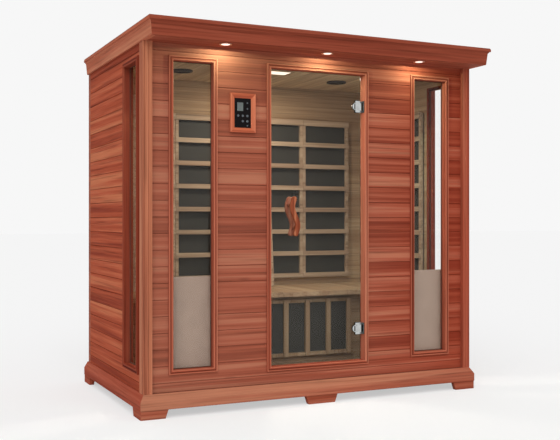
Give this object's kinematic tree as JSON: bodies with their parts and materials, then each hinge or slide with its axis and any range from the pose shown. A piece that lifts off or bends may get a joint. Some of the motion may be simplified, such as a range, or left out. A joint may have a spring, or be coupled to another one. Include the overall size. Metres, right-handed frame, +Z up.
{
  "type": "infrared sauna cabin",
  "caption": "Boarded cedar infrared sauna cabin with an overhanging crowned roof, tall windows, a hinged glass door, a wall control and a slatted bench room inside.",
  "frame": {"origin": "middle of the bounding box footprint, on the floor under the feet", "axes": "+X to the right seen from the front, +Y from the front to the back, +Z up"},
  "size_m": [1.95, 1.3, 1.9],
  "materials": {
    "red_cedar": "oiled red cedar",
    "dark_cedar": "oiled red cedar, dark",
    "pale_wood": "bare pale softwood",
    "heater_plate": "matt dark grey",
    "beige_board": "plain board",
    "clear_glass": "clear toughened",
    "chrome": "polished",
    "black_panel": "gloss black",
    "key_plastic": "soft grey",
    "lamp_cover": "opal",
    "speaker_plastic": "dark grille",
    "steel_case": "zinc plated",
    "black_gland": "matt black"
  },
  "bodies": {
    "cabin": {"back_guard_left": "pale_wood", "back_guard_middle": "pale_wood", "back_guard_right": "pale_wood", "back_heater": "heater_plate", "back_wall": "red_cedar", "backrest": "pale_wood", "bench_front": "pale_wood", "bench_guard": "pale_wood", "bench_heater": "heater_plate", "bench_top": "pale_wood", "ceiling_light": "lamp_cover", "ceiling_panel": "pale_wood", "control_panel": "black_panel", "control_trim": "red_cedar", "corner_post_left": "red_cedar", "corner_post_right": "red_cedar", "crown_moulding": "red_cedar", "door_frame": "red_cedar", "downlight_left": "lamp_cover", "downlight_middle": "lamp_cover", "downlight_right": "lamp_cover", "floor_panel": "pale_wood", "front_heater_left": "beige_board", "front_heater_right": "beige_board", "front_wall": "red_cedar", "hinge_leaf_lower": "chrome", "hinge_leaf_upper": "chrome", "left_wall": "red_cedar", "mains_gland": "black_gland", "plinth_back": "red_cedar", "plinth_front": "red_cedar", "plinth_left": "red_cedar", "plinth_right": "red_cedar", "power_unit": "steel_case", "right_wall": "red_cedar", "roof_cover": "dark_cedar", "side_guard_left": "pale_wood", "side_guard_right": "pale_wood", "side_heater_left": "heater_plate", "side_heater_right": "heater_plate", "speaker_left": "speaker_plastic", "speaker_right": "speaker_plastic", "window_frame_front_left": "red_cedar", "window_frame_front_right": "red_cedar", "window_frame_side_left": "red_cedar", "window_frame_side_right": "red_cedar", "window_glass_front_left": "clear_glass", "window_glass_front_right": "clear_glass", "window_glass_side_left": "clear_glass", "window_glass_side_right": "clear_glass"},
    "door": {"door_glass": "clear_glass", "hinge_clamp_upper": "chrome", "hinge_clamp_lower": "chrome", "door_handle_outer": "red_cedar", "door_handle_inner": "red_cedar"},
    "key_1": {"control_key_1": "key_plastic"},
    "key_2": {"control_key_2": "key_plastic"},
    "key_3": {"control_key_3": "key_plastic"},
    "key_4": {"control_key_4": "key_plastic"},
    "key_5": {"control_key_5": "key_plastic"}
  },
  "joints": [
    {"name": "door_swing", "type": "hinge", "parent": "cabin", "child": "door", "pos_m": [0.265, -0.446, 0.9665], "axis": [0, 0, 1], "range_deg": [0, 90]},
    {"name": "key_1_press", "type": "slide", "parent": "cabin", "child": "key_1", "axis": [0, 1, 0], "range_m": [0, 0.0008], "stiffness_N_per_m": 800},
    {"name": "key_2_press", "type": "slide", "parent": "cabin", "child": "key_2", "axis": [0, 1, 0], "range_m": [0, 0.0008], "stiffness_N_per_m": 800},
    {"name": "key_3_press", "type": "slide", "parent": "cabin", "child": "key_3", "axis": [0, 1, 0], "range_m": [0, 0.0008], "stiffness_N_per_m": 800},
    {"name": "key_4_press", "type": "slide", "parent": "cabin", "child": "key_4", "axis": [0, 1, 0], "range_m": [0, 0.0008], "stiffness_N_per_m": 800},
    {"name": "key_5_press", "type": "slide", "parent": "cabin", "child": "key_5", "axis": [0, 1, 0], "range_m": [0, 0.0008], "stiffness_N_per_m": 800}
  ]
}
